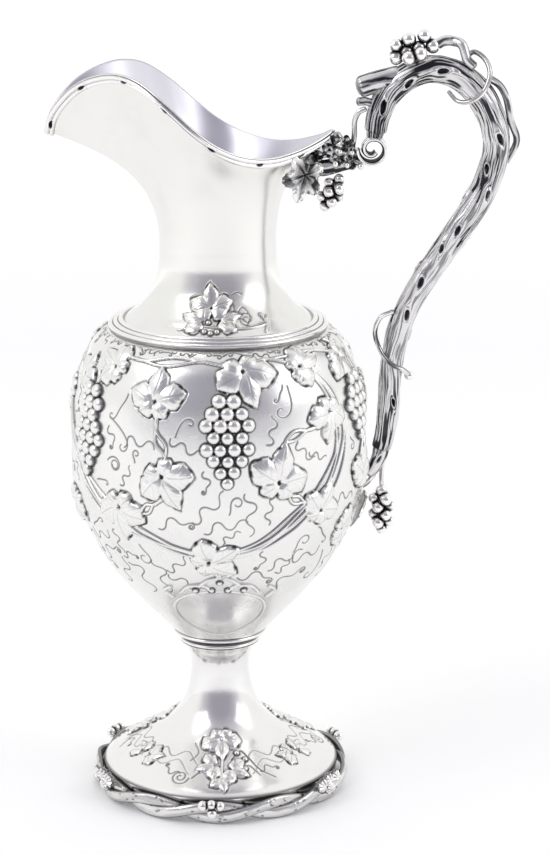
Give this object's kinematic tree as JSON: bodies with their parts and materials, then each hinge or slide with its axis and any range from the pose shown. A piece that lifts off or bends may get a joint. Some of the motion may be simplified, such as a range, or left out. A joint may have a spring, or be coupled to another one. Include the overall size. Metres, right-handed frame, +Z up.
{
  "type": "ewer",
  "caption": "Tall pear-bodied presentation ewer in silver with a domed pedestal foot, a broad helmet-shaped spout, a grapevine in relief and a bark-textured branch handle.",
  "frame": {"origin": "on the axis of the vessel, in the plane that the base ring stands on", "axes": "+Z up along the vessel axis, +X towards the handle, -X towards the tip of the spout, -Y towards the side with the plain oval cartouche"},
  "size_m": [0.2405, 0.158, 0.4],
  "materials": {
    "body_silver": "polished raised sheet with a chased and raised vine, darkened in the recesses",
    "neck_silver": "polished raised sheet with light chasing",
    "foot_silver": "polished spun sheet with light chasing",
    "moulding_silver": "polished reeded moulding, dark between the reeds",
    "bark_silver": "cast, bark-textured, darkened in the grooves",
    "vine_silver": "cast, bright on top and dark in the grooves",
    "leaf_silver": "cast leaf with cut veins",
    "grape_silver": "cast and burnished"
  },
  "bodies": {
    "root": {"base_ring": "foot_silver", "pedestal_foot": "foot_silver", "foot_vine_inner": "vine_silver", "foot_vine_outer": "vine_silver", "foot_grapes_1": "grape_silver", "foot_grapes_2": "grape_silver", "foot_grapes_3": "grape_silver", "foot_grapes_4": "grape_silver", "foot_grapes_5": "grape_silver", "foot_grapes_6": "grape_silver", "stem_collar": "foot_silver", "body": "body_silver", "shoulder_ring": "moulding_silver", "neck_and_spout": "neck_silver", "lip_moulding": "moulding_silver", "handle_branch": "bark_silver", "handle_scroll": "vine_silver", "cut_branch": "bark_silver", "broken_twig": "bark_silver", "scroll_tendril": "vine_silver", "top_grapes": "grape_silver", "top_grape_stem": "bark_silver", "upper_tendril": "vine_silver", "side_twig": "bark_silver", "lower_tendril": "vine_silver", "bracket_branch": "bark_silver", "bracket_stub": "bark_silver", "bracket_leaf_near": "leaf_silver", "bracket_leaf_far": "leaf_silver", "bracket_grapes": "grape_silver", "heel_branch": "bark_silver", "heel_twig": "vine_silver", "heel_leaf": "leaf_silver", "drop_stem": "vine_silver", "drop_grapes": "grape_silver"}
  },
  "joints": []
}
